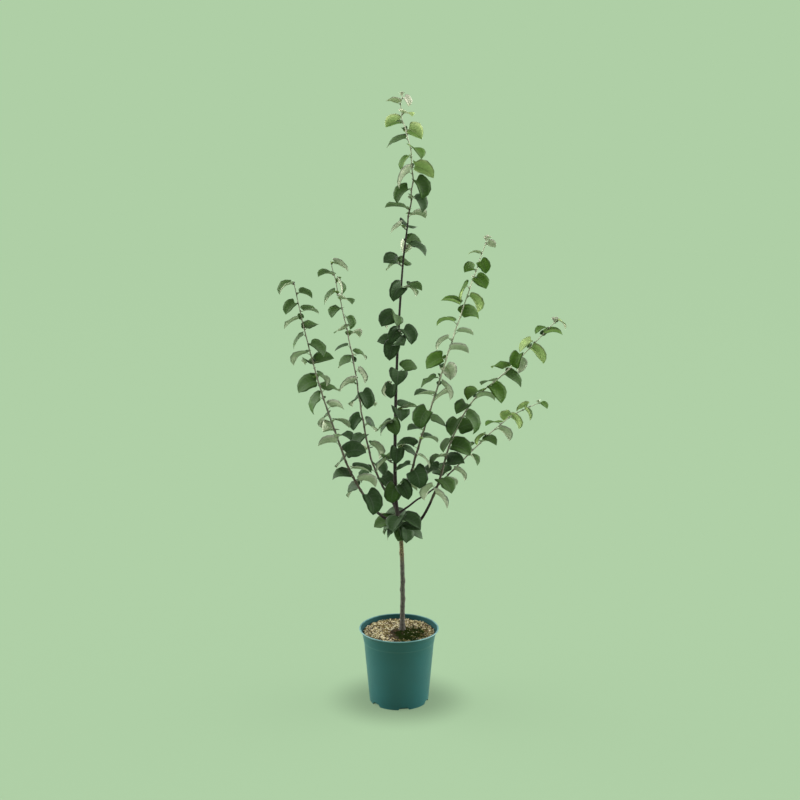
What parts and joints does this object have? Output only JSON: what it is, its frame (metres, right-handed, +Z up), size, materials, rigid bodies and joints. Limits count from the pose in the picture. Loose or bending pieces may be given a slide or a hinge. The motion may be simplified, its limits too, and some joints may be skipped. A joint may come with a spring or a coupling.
{
  "type": "potted quince tree",
  "caption": "Young fruit tree in a round nursery pot: a straight stem with a central leader and slim, leafy boughs that fan out above a filled pot.",
  "frame": {"origin": "centre of the pot's flat underside, on the surface that it stands on", "axes": "+Z up along the plant, -Y to the front that the picture shows, +X to its right"},
  "size_m": [0.6752, 0.3881, 1.4991],
  "materials": {
    "pot_plastic": "satin",
    "mulch": "matte",
    "bark": "matte",
    "leaves": "matte"
  },
  "bodies": {
    "root": {"pot": "pot_plastic", "soil": "mulch", "trunk": "bark", "bough_left_outer": "bark", "bough_left_inner": "bark", "bough_right_inner": "bark", "bough_right_outer": "bark", "bough_right_low": "bark", "foliage_left_outer": "leaves", "foliage_left_inner": "leaves", "foliage_right_inner": "leaves", "foliage_right_outer": "leaves", "foliage_right_low": "leaves", "foliage_leader": "leaves", "foliage_fork_1": "leaves", "foliage_fork_2": "leaves", "foliage_fork_3": "leaves", "foliage_fork_4": "leaves", "foliage_fork_5": "leaves", "foliage_fork_6": "leaves", "foliage_spur_1": "leaves", "foliage_spur_2": "leaves", "foliage_spur_3": "leaves", "foliage_spur_4": "leaves", "foliage_spur_5": "leaves", "foliage_spur_6": "leaves", "foliage_spur_7": "leaves", "foliage_spur_8": "leaves", "foliage_spur_9": "leaves", "foliage_spur_10": "leaves", "foliage_spur_11": "leaves", "foliage_spur_12": "leaves", "foliage_spur_13": "leaves", "foliage_spur_14": "leaves"}
  },
  "joints": []
}
